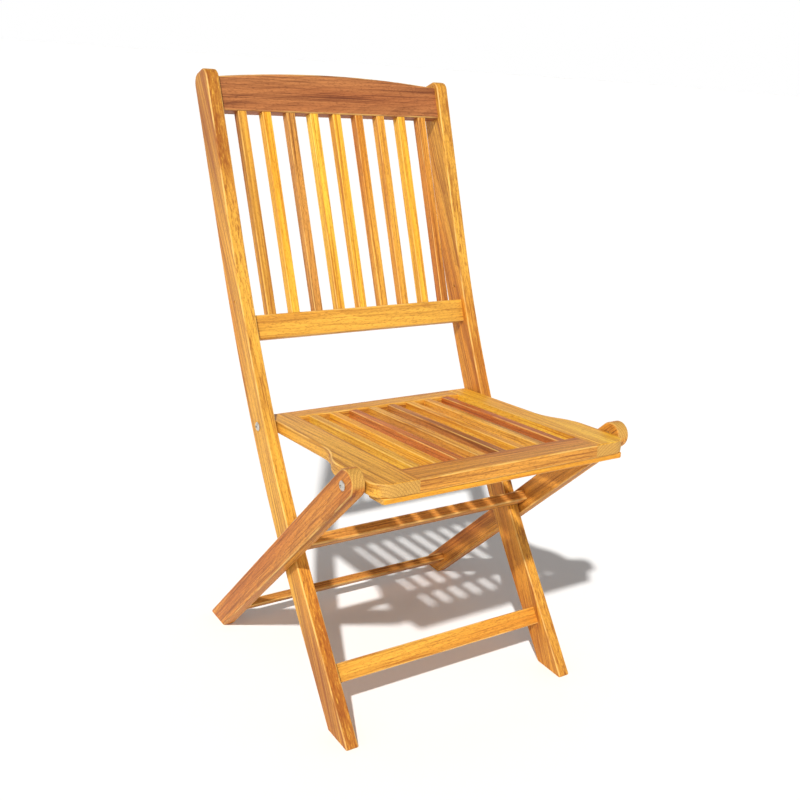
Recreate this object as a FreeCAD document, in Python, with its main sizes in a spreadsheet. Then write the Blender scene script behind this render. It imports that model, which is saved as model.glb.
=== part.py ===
import FreeCAD, Part
import math
import os

import Sketcher

# Folding garden dining chair in oiled hardwood, in millimetres.
# X runs across the chair, -Y is the way a sitter faces and +Z is up, with the floor at Z = 0.
# Three wooden frames: the back frame stands on the two front feet, the seat hangs on it from two
# pivot bolts, and the rear legs hang from the front of the seat and lean back to the floor.

DRIVING = [
    # back stiles: straight foot end, one long bend, straight top end
    ("stile_thick", 21.0),
    ("stile_depth", 48.0),
    ("stile_outer_half", 219.0),
    ("stile_foot_forward", 225.19),
    ("stile_lower_lean", 38.0),
    ("stile_lower_run", 198.0),
    ("stile_bend_radius", 1990.0),
    ("stile_upper_lean", 21.5),
    ("stile_upper_run", 267.0),
    ("stile_top_round", 15.0),
    ("foot_round", 3.0),
    ("arm_bolt_bore", 4.2),
    ("arm_bolt_back", 150.41),
    ("arm_bolt_height", 580.6),
    # back panel: two rails and the slats, all in one leaning plane
    ("panel_back", 112.56),
    ("panel_height", 528.1),
    ("panel_lean", 21.7),
    ("rail_thick", 21.0),
    ("lower_rail_height", 38.0),
    ("top_rail_start", 346.0),
    ("top_rail_height", 50.0),
    ("top_rail_arch", 10.0),
    ("back_slat_count", 9),
    ("back_slat_pitch", 41.2),
    ("back_slat_width", 14.5),
    ("back_slat_thick", 16.0),
    ("back_slat_setback", 1.5),
    # front stretcher, between the stiles
    ("front_stretcher_station", 97.5),
    ("front_stretcher_height", 30.0),
    ("front_stretcher_thick", 20.0),
    # seat frame, measured from the rear pivot along the seat
    ("rear_pivot_back", 62.41),
    ("rear_pivot_height", 406.1),
    ("seat_slope", 5.1),
    ("seat_thick", 19.5),
    ("seat_inner_half", 155.0),
    ("seat_narrow_half", 195.0),
    ("seat_wide_half", 219.0),
    ("seat_rear_reach", 23.0),
    ("seat_front_reach", 359.0),
    ("sweep_start", 168.0),
    ("sweep_end", 258.0),
    ("seat_front_corner", 28.0),
    ("seat_rear_corner", 6.0),
    ("seat_front_rail", 48.5),
    ("seat_rear_rail", 34.0),
    ("seat_slat_count", 8),
    ("seat_slat_width", 14.5),
    ("seat_slat_gap", 22.0),
    ("seat_slat_thick", 17.5),
    ("seat_slat_drop", 0.8),
    # cleat screwed under the front rail
    ("cleat_length", 420.0),
    ("cleat_width", 40.0),
    ("cleat_thick", 8.0),
    ("cleat_setback", 2.0),
    ("cleat_corner", 6.0),
    ("cleat_screw_count", 5),
    ("cleat_screw_pitch", 72.0),
    # rear legs and their two stretchers, measured from the front pivot along the leg
    ("leg_thick", 21.0),
    ("leg_depth", 40.0),
    ("leg_inner_half", 222.0),
    ("leg_top_reach", 5.0),
    ("leg_lean", 44.5),
    ("pivot_spacing", 310.0),
    ("front_pivot_rise", 1.0),
    ("stop_station", 246.3),
    ("stop_back", 3.0),
    ("stop_width", 23.0),
    ("stop_thick", 18.0),
    ("stop_arris", 3.5),
    ("spreader_lift", 52.0),
    ("spreader_width", 20.0),
    ("spreader_thick", 14.0),
    # joints between the timbers
    ("tenon_thick", 9.0),
    ("tenon_length", 13.0),
    ("tenon_shoulder", 5.0),
    ("top_rail_shoulder", 7.0),
    ("stretcher_shoulder", 4.0),
    ("bar_shoulder", 3.0),
    ("seat_rear_tenon", 11.0),
    ("slat_tenon_length", 8.0),
    ("glue_gap", 0.1),
    ("arris", 2.5),
    ("slat_arris", 1.5),
    # pivot hardware
    ("shoulder_radius", 4.0),
    ("shoulder_length", 24.3),
    ("running_gap", 0.08),
    ("thread_radius", 3.0),
    ("thread_length", 22.0),
    ("head_radius", 7.0),
    ("head_rim", 0.9),
    ("head_dome", 2.4),
    ("socket_flats", 4.0),
    ("socket_depth", 1.9),
    ("insert_radius", 5.0),
    ("insert_length", 18.0),
    ("insert_bore_depth", 25.0),
    ("fixed_gap", 0.05),
    ("washer_radius", 8.0),
    ("washer_bore", 4.3),
    ("washer_thick", 2.6),
    # wood screws of the cleat
    ("screw_radius", 2.0),
    ("screw_length", 18.0),
    ("screw_end_gap", 1.0),
    ("screw_head_radius", 4.0),
    ("screw_head_height", 2.4),
]

DOC = FreeCAD.newDocument("FoldingChair")
SIDES = {"left": -1, "right": 1}
ACROSS = FreeCAD.Vector(1, 0, 0)

# lengths that several pieces share, as expressions of the driving dimensions
BETWEEN_STILES = "(2 * (d.stile_outer_half - d.stile_thick))"
LOWER_RAIL_TENON = "(d.lower_rail_height - 2 * d.tenon_shoulder)"
TOP_RAIL_TENON = "(d.top_rail_height - 2 * d.top_rail_shoulder)"
STRETCHER_TENON = "(d.front_stretcher_height - 2 * d.stretcher_shoulder)"
SEAT_CLEAR = "(d.seat_front_reach + d.seat_rear_reach - d.seat_front_rail - d.seat_rear_rail)"
SEAT_SLAT_PITCH = "(d.seat_slat_width + d.seat_slat_gap)"
FRONT_PIVOT_HEIGHT = ("(d.rear_pivot_height + d.pivot_spacing * sin(d.seat_slope)"
                      " + d.front_pivot_rise * cos(d.seat_slope))")
LEG_LENGTH = f"({FRONT_PIVOT_HEIGHT} / cos(d.leg_lean))"


def fill_sheet():
    """Write the driving dimensions into the spreadsheet, one aliased cell each."""
    sheet = DOC.addObject("Spreadsheet::Sheet", "Dimensions")
    for row, (alias, value) in enumerate(DRIVING, start=1):
        sheet.set(f"A{row}", alias.replace("_", " "))
        sheet.set(f"B{row}", str(value))
        sheet.setAlias(f"B{row}", alias)
    DOC.recompute()
    return sheet


SHEET = fill_sheet()


def size(expression):
    """Value of an expression in sheet aliases, such as 'd.leg_depth / 2'."""
    return float(SHEET.evalExpression(bound(expression)))


def bound(expression):
    """The same expression as FreeCAD reads it, with d. standing for the sheet."""
    return str(expression).replace("d.", "Dimensions.")


# ---------------------------------------------------------------- places in the chair

def seat_place(forward, across=0.0, rise=0.0):
    """Placement of a seat piece, from its distances from the rear pivot along the seat."""
    slope = math.radians(size("d.seat_slope"))
    back = size("d.rear_pivot_back") - forward * math.cos(slope) + rise * math.sin(slope)
    height = size("d.rear_pivot_height") + forward * math.sin(slope) + rise * math.cos(slope)
    turn = FreeCAD.Rotation(ACROSS, -size("d.seat_slope"))
    return FreeCAD.Placement(FreeCAD.Vector(across, back, height), turn)


def leg_place(station, across=0.0, back=0.0):
    """Placement of a leg-frame piece, from its distance down the leg and behind its centre line."""
    pivot = seat_place(size("d.pivot_spacing"), rise=size("d.front_pivot_rise")).Base
    lean = math.radians(size("d.leg_lean"))
    down = FreeCAD.Vector(0, math.sin(lean), -math.cos(lean))
    spot = pivot + down * station + FreeCAD.Vector(0, math.cos(lean), math.sin(lean)) * back
    turn = FreeCAD.Rotation(ACROSS, size("d.leg_lean"))
    return FreeCAD.Placement(FreeCAD.Vector(across, spot.y, spot.z), turn)


def panel_place(up, back, across=0.0):
    """Placement of a back-panel piece, from its height up the panel and depth behind its face."""
    lean = math.radians(size("d.panel_lean"))
    place_y = size("d.panel_back") + up * math.sin(lean) + back * math.cos(lean)
    place_z = size("d.panel_height") + up * math.cos(lean) - back * math.sin(lean)
    turn = FreeCAD.Rotation(ACROSS, -size("d.panel_lean"))
    return FreeCAD.Placement(FreeCAD.Vector(across, place_y, place_z), turn)


def front_stretcher_place():
    """Placement of the front stretcher, on the centre line of the stiles' straight foot end."""
    lean = math.radians(size("d.stile_lower_lean"))
    station = size("d.front_stretcher_station")
    back = station * math.sin(lean) - size("d.stile_foot_forward")
    spot = FreeCAD.Vector(0, back, station * math.cos(lean))
    return FreeCAD.Placement(spot, FreeCAD.Rotation(ACROSS, -size("d.stile_lower_lean")))


# ---------------------------------------------------------------- sketch helpers

def new_body(label):
    """An empty body with its own label."""
    body = DOC.addObject("PartDesign::Body", label)
    body.Label = label
    return body


def sketch_on(body, role, u=0.0, v=0.0, out=0.0, turn=0.0):
    """A sketch on one of the body's origin planes, moved by u, v and out and turned in its plane."""
    plane = next(item for item in body.Origin.OriginFeatures if item.Role == role)
    sketch = body.newObject("Sketcher::SketchObject", body.Name + "_sketch")
    sketch.AttachmentSupport = [(plane, "")]
    sketch.MapMode = "FlatFace"
    turned = FreeCAD.Rotation(FreeCAD.Vector(0, 0, 1), turn)
    sketch.AttachmentOffset = FreeCAD.Placement(FreeCAD.Vector(u, v, out), turned)
    return sketch


def dimension(sketch, kind, *where, to):
    """Add one dimension to a sketch and bind it to an expression."""
    value = size(to)
    start = math.radians(value) if kind == "Angle" else value
    index = sketch.addConstraint(Sketcher.Constraint(kind, *where, start))
    sketch.setExpression(f"Constraints[{index}]", bound(to))


def outline(sketch, corners, bends=(), smooth=()):
    """Draw a closed outline through its corners.

    Each side runs from one corner to the next. bends maps a side's number to a point that the side
    bends through, and smooth lists the sides that run tangent into the side after them.
    Returns the two ends of each side as sketch point numbers.
    """
    bends = dict(bends)
    points = [FreeCAD.Vector(x, y, 0) for x, y in corners]
    count = len(points)
    ends = []
    for side in range(count):
        start, stop = points[side], points[(side + 1) % count]
        if side in bends:
            middle = FreeCAD.Vector(*bends[side], 0)
            sketch.addGeometry(Part.Arc(start, middle, stop))
        else:
            sketch.addGeometry(Part.LineSegment(start, stop))
        first = sketch.getPoint(side, 1)
        ends.append((1, 2) if first.distanceToPoint(start) < first.distanceToPoint(stop) else (2, 1))
    for side in range(count):
        following = (side + 1) % count
        kind = "Tangent" if side in smooth else "Coincident"
        sketch.addConstraint(Sketcher.Constraint(kind, side, ends[side][1], following, ends[following][0]))
    return ends


def rectangle(sketch, width, height):
    """A rectangle centred on the sketch's own origin."""
    half_w, half_h = size(width) / 2, size(height) / 2
    outline(sketch, [(-half_w, -half_h), (half_w, -half_h), (half_w, half_h), (-half_w, half_h)])
    for side in (0, 2):
        sketch.addConstraint(Sketcher.Constraint("Horizontal", side))
    for side in (1, 3):
        sketch.addConstraint(Sketcher.Constraint("Vertical", side))
    sketch.addConstraint(Sketcher.Constraint("Symmetric", 0, 1, 2, 1, -1, 1))
    dimension(sketch, "DistanceX", 0, 1, 0, 2, to=width)
    dimension(sketch, "DistanceY", 1, 1, 1, 2, to=height)


def circle(sketch, radius):
    """A circle centred on the sketch's own origin."""
    geometry = Part.Circle(FreeCAD.Vector(), FreeCAD.Vector(0, 0, 1), size(radius))
    index = sketch.addGeometry(geometry)
    sketch.addConstraint(Sketcher.Constraint("Coincident", index, 3, -1, 1))
    dimension(sketch, "Radius", index, to=radius)


def hexagon(sketch, flats):
    """A hexagon centred on the sketch's own origin, by the width across its flats."""
    reach = size(flats) / math.sqrt(3)
    turns = [math.radians(60 * corner) for corner in range(6)]
    outline(sketch, [(reach * math.cos(turn), reach * math.sin(turn)) for turn in turns])
    ring = sketch.addGeometry(Part.Circle(FreeCAD.Vector(), FreeCAD.Vector(0, 0, 1), reach), True)
    sketch.addConstraint(Sketcher.Constraint("Coincident", ring, 3, -1, 1))
    for side in range(6):
        sketch.addConstraint(Sketcher.Constraint("PointOnObject", side, 1, ring))
    for side in range(1, 6):
        sketch.addConstraint(Sketcher.Constraint("Equal", 0, side))
    sketch.addConstraint(Sketcher.Constraint("Horizontal", 1))
    dimension(sketch, "Radius", ring, to=f"{flats} / sqrt(3)")


# ---------------------------------------------------------------- feature helpers

def pad(body, sketch, length):
    """Pad a sketch equally to both sides of its plane."""
    feature = body.newObject("PartDesign::Pad", body.Name + "_pad")
    feature.Profile = sketch
    feature.SideType = "Symmetric"
    feature.setExpression("Length", bound(length))
    DOC.recompute()
    return feature


def pocket(body, sketch, depth=None, upward=False):
    """Cut a sketch into the body, right through if no depth is given, and check that it cuts."""
    before = body.Shape.Volume
    feature = body.newObject("PartDesign::Pocket", body.Name + "_pocket")
    feature.Profile = sketch
    if depth is None:
        feature.SideType = "Symmetric"
        feature.Type = "ThroughAll"
    else:
        feature.Reversed = upward
        feature.setExpression("Length", bound(depth))
    DOC.recompute()
    if body.Shape.Volume > before - 1.0:
        raise RuntimeError(f"{feature.Name} in {body.Label} cuts nothing")
    return feature


def repeat(body, feature, axis, step, count):
    """Repeat a feature in a row along one of the body's origin axes."""
    line = next(item for item in body.Origin.OriginFeatures if item.Role == axis)
    pattern = body.newObject("PartDesign::LinearPattern", body.Name + "_row")
    pattern.Originals = [feature]
    pattern.Direction = (line, [""])
    pattern.setExpression("Length", bound(f"({step}) * ({count} - 1)"))
    pattern.Occurrences = int(size(count))
    body.Tip = pattern
    DOC.recompute()
    return pattern


def ease(body, radius, chosen):
    """Round the edges of the body's shape so far that a test picks out."""
    names = [f"Edge{number}" for number, edge in enumerate(body.Shape.Edges, start=1) if chosen(edge)]
    if not names:
        raise RuntimeError(f"no edge to round on {body.Label}")
    rounded = body.Tip
    feature = body.newObject("PartDesign::Fillet", body.Name + "_round")
    feature.Base = (rounded, names)
    feature.setExpression("Radius", bound(radius))
    DOC.recompute()
    return feature


def runs_along(axis):
    """A test for straight edges along one axis: 0 for X, 1 for Y, 2 for Z."""
    def test(edge):
        if edge.Curve.TypeId != "Part::GeomLine":
            return False
        return abs(abs(edge.Curve.Direction[axis]) - 1) < 1e-6
    return test


def lies_in_face(axis, half):
    """A test for edges that lie in either face square to one axis, half away from the middle."""
    def test(edge):
        ends = (edge.BoundBox.XMin, edge.BoundBox.YMin, edge.BoundBox.ZMin)
        stops = (edge.BoundBox.XMax, edge.BoundBox.YMax, edge.BoundBox.ZMax)
        flat = stops[axis] - ends[axis] < 1e-3
        return flat and abs(abs(ends[axis]) - half) < 1e-3
    return test


def crosses_between(low, high):
    """A test for edges straight across the body that lie between two heights."""
    def test(edge):
        return runs_along(0)(edge) and low < edge.BoundBox.ZMin and edge.BoundBox.ZMax < high
    return test


def board(label, role, across, up, length, arris, tenon=None):
    """A straight board, centred on its own origin, with its long edges rounded.

    role is the plane of its section, and tenon is (across, up, length) of the tenon at each end.
    """
    body = new_body(label)
    section = sketch_on(body, role)
    rectangle(section, across, up)
    pad(body, section, length)
    ease(body, arris, runs_along({"YZ_Plane": 0, "XZ_Plane": 1, "XY_Plane": 2}[role]))
    if tenon:
        tongue = sketch_on(body, role)
        rectangle(tongue, tenon[0], tenon[1])
        pad(body, tongue, f"{length} + 2 * {tenon[2]}")
    return body


def side_mortise(body, place, half, side, across, up, length):
    """Cut a mortise for a cross rail into a side piece, from its inner face outwards.

    place is the rail's centre and turn in the body's own frame, half the distance from the
    body's middle plane to its inner face, and across, up and length the tenon's sizes.
    """
    turn = math.degrees(place.Rotation.Angle) * (1 if place.Rotation.Axis.x > 0 else -1)
    sketch = sketch_on(body, "YZ_Plane", place.Base.y, place.Base.z, half, turn)
    rectangle(sketch, f"{across} + 2 * d.glue_gap", f"{up} + 2 * d.glue_gap")
    return pocket(body, sketch, f"{length} + 3 * d.glue_gap", upward=side > 0)


# ---------------------------------------------------------------- back frame

def stile(side_name):
    """One curved stile, from the front foot to the top of the back."""
    side = SIDES[side_name]
    body = new_body(f"stile_{side_name}")
    sketch = sketch_on(body, "YZ_Plane")
    lower, upper = math.radians(size("d.stile_lower_lean")), math.radians(size("d.stile_upper_lean"))
    radius, half = size("d.stile_bend_radius"), size("d.stile_depth / 2")

    def place(lean, base, offset):
        """Point beside the centre line, offset forwards, where the line leans by lean."""
        return (base[0] - offset * math.cos(lean), base[1] + offset * math.sin(lean))

    foot = (-size("d.stile_foot_forward"), 0.0)
    run = size("d.stile_lower_run")
    bend_start = (foot[0] + run * math.sin(lower), run * math.cos(lower))
    centre = place(lower, bend_start, radius)
    middle = place((lower + upper) / 2, centre, -radius)
    bend_stop = place(upper, centre, -radius)
    run = size("d.stile_upper_run")
    top = (bend_stop[0] + run * math.sin(upper), bend_stop[1] + run * math.cos(upper))
    foot_half = half / math.cos(lower)
    corners = [
        (foot[0] - foot_half, 0.0), place(lower, bend_start, half), place(upper, bend_stop, half),
        place(upper, top, half), place(upper, top, -half), place(upper, bend_stop, -half),
        place(lower, bend_start, -half), (foot[0] + foot_half, 0.0),
    ]
    mid_lean = (lower + upper) / 2
    bends = {1: place(mid_lean, middle, half), 5: place(mid_lean, middle, -half)}
    outline(sketch, corners, bends, smooth=(0, 1, 4, 5))
    sketch.addConstraint(Sketcher.Constraint("Coincident", 1, 3, 5, 3))
    sketch.addConstraint(Sketcher.Constraint("Horizontal", 7))
    sketch.addConstraint(Sketcher.Constraint("PointOnObject", 0, 1, -1))
    sketch.addConstraint(Sketcher.Constraint("Perpendicular", 2, 3))
    sketch.addConstraint(Sketcher.Constraint("Parallel", 2, 4))
    sketch.addConstraint(Sketcher.Constraint("Parallel", 0, 6))
    dimension(sketch, "Radius", 1, to="d.stile_bend_radius - d.stile_depth / 2")
    dimension(sketch, "Radius", 5, to="d.stile_bend_radius + d.stile_depth / 2")
    dimension(sketch, "Angle", 0, to="90 - d.stile_lower_lean")
    dimension(sketch, "Angle", 2, to="90 - d.stile_upper_lean")
    dimension(sketch, "Distance", 2, to="d.stile_upper_run")
    dimension(sketch, "Distance", 0, to="d.stile_lower_run + d.stile_depth / 2 * tan(d.stile_lower_lean)")
    forward = "d.stile_foot_forward + d.stile_depth / 2 / cos(d.stile_lower_lean)"
    dimension(sketch, "DistanceX", 0, 1, -1, 1, to=forward)
    pad(body, sketch, "d.stile_thick")

    ease(body, "d.stile_top_round", crosses_between(top[1] - half, math.inf))
    ease(body, "d.foot_round", crosses_between(-math.inf, 1.0))
    ease(body, "d.arris", lies_in_face(0, size("d.stile_thick / 2")))

    inner = -side * size("d.stile_thick / 2")
    for joint, up in stile_joints():
        side_mortise(body, joint, inner, side, "d.tenon_thick", up, "d.tenon_length")
    pivot = sketch_on(body, "YZ_Plane", size("d.rear_pivot_back"), size("d.rear_pivot_height"))
    circle(pivot, "d.shoulder_radius + d.running_gap")
    pocket(body, pivot)
    arm_bolt = sketch_on(body, "YZ_Plane", size("d.arm_bolt_back"), size("d.arm_bolt_height"))
    circle(arm_bolt, "d.arm_bolt_bore / 2")
    pocket(body, arm_bolt)
    body.Placement.Base.x = side * size("d.stile_outer_half - d.stile_thick / 2")
    return body


def stile_joints():
    """Places of the three cross rails between the stiles, each with its tenon's height."""
    back = size("d.rail_thick / 2")
    return [
        (panel_place(size("d.lower_rail_height / 2"), back), LOWER_RAIL_TENON),
        (panel_place(size("d.top_rail_start + d.top_rail_height / 2"), back), TOP_RAIL_TENON),
        (front_stretcher_place(), STRETCHER_TENON),
    ]


def slat_row_mortises(body, out, upward):
    """Cut the row of mortises for the back slats into a rail, out above its middle."""
    first = -size("d.back_slat_pitch * (d.back_slat_count - 1) / 2")
    ahead = size("d.back_slat_setback + d.back_slat_thick / 2 - d.rail_thick / 2")
    sketch = sketch_on(body, "XY_Plane", first, ahead, out)
    rectangle(sketch, "d.tenon_thick + 2 * d.glue_gap", "d.tenon_thick + 2 * d.glue_gap")
    cut = pocket(body, sketch, "d.slat_tenon_length + 3 * d.glue_gap", upward=upward)
    repeat(body, cut, "X_Axis", "d.back_slat_pitch", "d.back_slat_count")


def lower_back_rail():
    """The lower rail of the back panel, tenoned into both stiles."""
    tenon = ("d.tenon_thick", LOWER_RAIL_TENON, "d.tenon_length")
    body = board("lower_back_rail", "YZ_Plane", "d.rail_thick", "d.lower_rail_height",
                 BETWEEN_STILES, "d.arris", tenon)
    slat_row_mortises(body, size("d.lower_rail_height / 2"), upward=False)
    body.Placement = panel_place(size("d.lower_rail_height / 2"), size("d.rail_thick / 2"))
    return body


def top_rail():
    """The arched top rail of the back panel, tenoned into both stiles."""
    body = new_body("top_rail")
    half, high = size(BETWEEN_STILES) / 2, size("d.top_rail_height / 2")
    arch = size("d.top_rail_arch")
    sketch = sketch_on(body, "XZ_Plane")
    outline(sketch, [(-half, -high), (half, -high), (half, high), (-half, high)], {2: (0, high + arch)})
    sketch.addConstraint(Sketcher.Constraint("Horizontal", 0))
    sketch.addConstraint(Sketcher.Constraint("Vertical", 1))
    sketch.addConstraint(Sketcher.Constraint("Vertical", 3))
    sketch.addConstraint(Sketcher.Constraint("Symmetric", 0, 1, 1, 2, -1, 1))
    sketch.addConstraint(Sketcher.Constraint("Horizontal", 1, 2, 3, 1))
    dimension(sketch, "DistanceX", 0, 1, 0, 2, to=BETWEEN_STILES)
    dimension(sketch, "DistanceY", 1, 1, 1, 2, to="d.top_rail_height")
    radius = f"{BETWEEN_STILES} * {BETWEEN_STILES} / 8 / d.top_rail_arch + d.top_rail_arch / 2"
    dimension(sketch, "Radius", 2, to=radius)
    pad(body, sketch, "d.rail_thick")
    ease(body, "d.arris", lambda edge: edge.Length > half)
    tongue = sketch_on(body, "YZ_Plane")
    rectangle(tongue, "d.tenon_thick", TOP_RAIL_TENON)
    pad(body, tongue, f"{BETWEEN_STILES} + 2 * d.tenon_length")
    slat_row_mortises(body, -high, upward=True)
    body.Placement = panel_place(size("d.top_rail_start") + high, size("d.rail_thick / 2"))
    return body


def front_stretcher():
    """The stretcher between the stiles, just above the front feet."""
    tenon = ("d.tenon_thick", STRETCHER_TENON, "d.tenon_length")
    body = board("front_stretcher", "YZ_Plane", "d.front_stretcher_thick", "d.front_stretcher_height",
                 BETWEEN_STILES, "d.arris", tenon)
    body.Placement = front_stretcher_place()
    return body


def back_slats():
    """The upright slats of the back panel, tenoned into both rails."""
    clear = "(d.top_rail_start - d.lower_rail_height)"
    back = size("d.back_slat_setback + d.back_slat_thick / 2")
    up = size("(d.top_rail_start + d.lower_rail_height) / 2")
    count = int(size("d.back_slat_count"))
    slats = []
    for number in range(count):
        tenon = ("d.tenon_thick", "d.tenon_thick", "d.slat_tenon_length")
        slat = board(f"back_slat_{number + 1}", "XY_Plane", "d.back_slat_width", "d.back_slat_thick",
                     clear, "d.slat_arris", tenon)
        slat.Placement = panel_place(up, back, (number - (count - 1) / 2) * size("d.back_slat_pitch"))
        slats.append(slat)
    return slats


# ---------------------------------------------------------------- seat

def seat_side_rail(side_name):
    """One side rail of the seat: narrow between the stiles, then swept out under the rear leg."""
    side = SIDES[side_name]
    body = new_body(f"seat_rail_{side_name}")
    sketch = sketch_on(body, "XY_Plane")
    inner, narrow, wide = (size(f"d.seat_{name}_half") for name in ("inner", "narrow", "wide"))
    rear, front, corner = size("d.seat_rear_reach"), -size("d.seat_front_reach"), size("d.seat_front_corner")
    start, stop = -size("d.sweep_start"), -size("d.sweep_end")
    step, run = wide - narrow, start - stop
    radius = (step ** 2 + run ** 2) / (4 * step)
    half_turn = math.asin(run / 2 / radius) / 2
    across, along = radius * (1 - math.cos(half_turn)), radius * math.sin(half_turn)
    slack = corner * (1 - math.sqrt(0.5))
    corners = [
        (inner, rear), (narrow, rear), (narrow, start), ((narrow + wide) / 2, (start + stop) / 2),
        (wide, stop), (wide, front + corner), (wide - corner, front), (inner, front),
    ]
    bends = {2: (narrow + across, start - along), 3: (wide - across, stop + along),
             5: (wide - slack, front + slack)}
    corners = [(side * x, y) for x, y in corners]
    bends = {number: (side * x, y) for number, (x, y) in bends.items()}
    ends = outline(sketch, corners, bends, smooth=(1, 2, 3, 4, 5))
    for number in (0, 6):
        sketch.addConstraint(Sketcher.Constraint("Horizontal", number))
    for number in (1, 4, 7):
        sketch.addConstraint(Sketcher.Constraint("Vertical", number))
    sketch.addConstraint(Sketcher.Constraint("Equal", 2, 3))
    dimension(sketch, "Radius", 5, to="d.seat_front_corner")
    widths = (
        ((-1, 1), (0, 1), "d.seat_inner_half"),
        ((0, 1), (0, 2), "d.seat_narrow_half - d.seat_inner_half"),
        ((-1, 1), (4, 1), "d.seat_wide_half"),
    )
    for near, far, width in widths:
        first, second = (near, far) if side > 0 else (far, near)
        dimension(sketch, "DistanceX", *first, *second, to=width)
    dimension(sketch, "DistanceY", -1, 1, 0, 1, to="d.seat_rear_reach")
    dimension(sketch, "DistanceY", 2, ends[2][0], -1, 1, to="d.sweep_start")
    dimension(sketch, "DistanceY", 4, 1, -1, 1, to="d.sweep_end")
    dimension(sketch, "DistanceY", 7, 1, -1, 1, to="d.seat_front_reach")
    pad(body, sketch, "d.seat_thick")

    def at_rear_corner(edge):
        box = edge.BoundBox
        return runs_along(2)(edge) and abs(box.XMin - side * narrow) < 1e-3 and abs(box.YMin - rear) < 1e-3

    def is_outer(edge):
        return lies_in_face(2, size("d.seat_thick / 2"))(edge) and edge.BoundBox.Center.x * side > inner + 1.0

    ease(body, "d.seat_rear_corner", at_rear_corner)
    ease(body, "d.arris", is_outer)

    inner_face = side * inner
    for forward, width, length in seat_cross_joints():
        place = FreeCAD.Placement(FreeCAD.Vector(0, -forward, 0), FreeCAD.Rotation())
        tenon_width = f"{width} - 2 * d.tenon_shoulder"
        side_mortise(body, place, inner_face, side, tenon_width, "d.tenon_thick", length)
    pivots = ((0.0, 0.0, narrow), (-size("d.pivot_spacing"), size("d.front_pivot_rise"), wide))
    for along, rise, face in pivots:
        bore = sketch_on(body, "YZ_Plane", along, rise, side * face)
        circle(bore, "d.insert_radius + d.fixed_gap")
        pocket(body, bore, "d.insert_bore_depth", upward=side < 0)
    body.Placement = seat_place(0.0)
    return body


def seat_cross_joints():
    """The seat's front and rear rails: middle forward of the rear pivot, width and tenon length."""
    front = size("d.seat_front_reach - d.seat_front_rail / 2")
    rear = size("d.seat_rear_rail / 2 - d.seat_rear_reach")
    return [(front, "d.seat_front_rail", "d.tenon_length"), (rear, "d.seat_rear_rail", "d.seat_rear_tenon")]


def seat_cross_rail(label, joint, slat_side):
    """The seat's front or rear rail, with mortises for the slats on one side."""
    forward, width, tenon_length = joint
    tenon = (f"{width} - 2 * d.tenon_shoulder", "d.tenon_thick", tenon_length)
    body = board(label, "YZ_Plane", width, "d.seat_thick", "2 * d.seat_inner_half", "d.arris", tenon)
    first = -size(f"{SEAT_SLAT_PITCH} * (d.seat_slat_count - 1) / 2")
    drop = size("d.seat_slat_drop + d.seat_slat_thick / 2 - d.seat_thick / 2")
    sketch = sketch_on(body, "XZ_Plane", first, -drop, -slat_side * size(width) / 2)
    rectangle(sketch, "d.tenon_thick + 2 * d.glue_gap", "d.tenon_thick + 2 * d.glue_gap")
    cut = pocket(body, sketch, "d.slat_tenon_length + 3 * d.glue_gap", upward=slat_side > 0)
    repeat(body, cut, "X_Axis", SEAT_SLAT_PITCH, "d.seat_slat_count")
    body.Placement = seat_place(forward)
    return body


def seat_front_rail():
    """The seat's front rail, with pilot holes for the cleat screws from below."""
    body = seat_cross_rail("seat_front_rail", seat_cross_joints()[0], slat_side=1)
    first = -size("d.cleat_screw_pitch * (d.cleat_screw_count - 1) / 2")
    back = size("d.seat_front_rail / 2 - d.cleat_setback - d.cleat_width / 2")
    sketch = sketch_on(body, "XY_Plane", first, -back, -size("d.seat_thick / 2"))
    circle(sketch, "d.screw_radius + d.fixed_gap")
    depth = "d.screw_length + d.screw_head_height + d.screw_end_gap - d.cleat_thick"
    cut = pocket(body, sketch, depth, upward=True)
    repeat(body, cut, "X_Axis", "d.cleat_screw_pitch", "d.cleat_screw_count")
    return body


def seat_slats():
    """The slats of the seat, front to back, tenoned into the front and rear rails."""
    forward = size("(d.seat_front_reach - d.seat_front_rail + d.seat_rear_rail - d.seat_rear_reach) / 2")
    rise = size("d.seat_thick / 2 - d.seat_slat_drop - d.seat_slat_thick / 2")
    count = int(size("d.seat_slat_count"))
    pitch = size(SEAT_SLAT_PITCH)
    slats = []
    for number in range(count):
        tenon = ("d.tenon_thick", "d.tenon_thick", "d.slat_tenon_length")
        slat = board(f"seat_slat_{number + 1}", "XZ_Plane", "d.seat_slat_width", "d.seat_slat_thick",
                     SEAT_CLEAR, "d.slat_arris", tenon)
        slat.Placement = seat_place(forward, (number - (count - 1) / 2) * pitch, rise)
        slats.append(slat)
    return slats


def cleat_forward():
    """Distance of the cleat's middle forward of the rear pivot."""
    return size("d.seat_front_reach - d.cleat_setback - d.cleat_width / 2")


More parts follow.
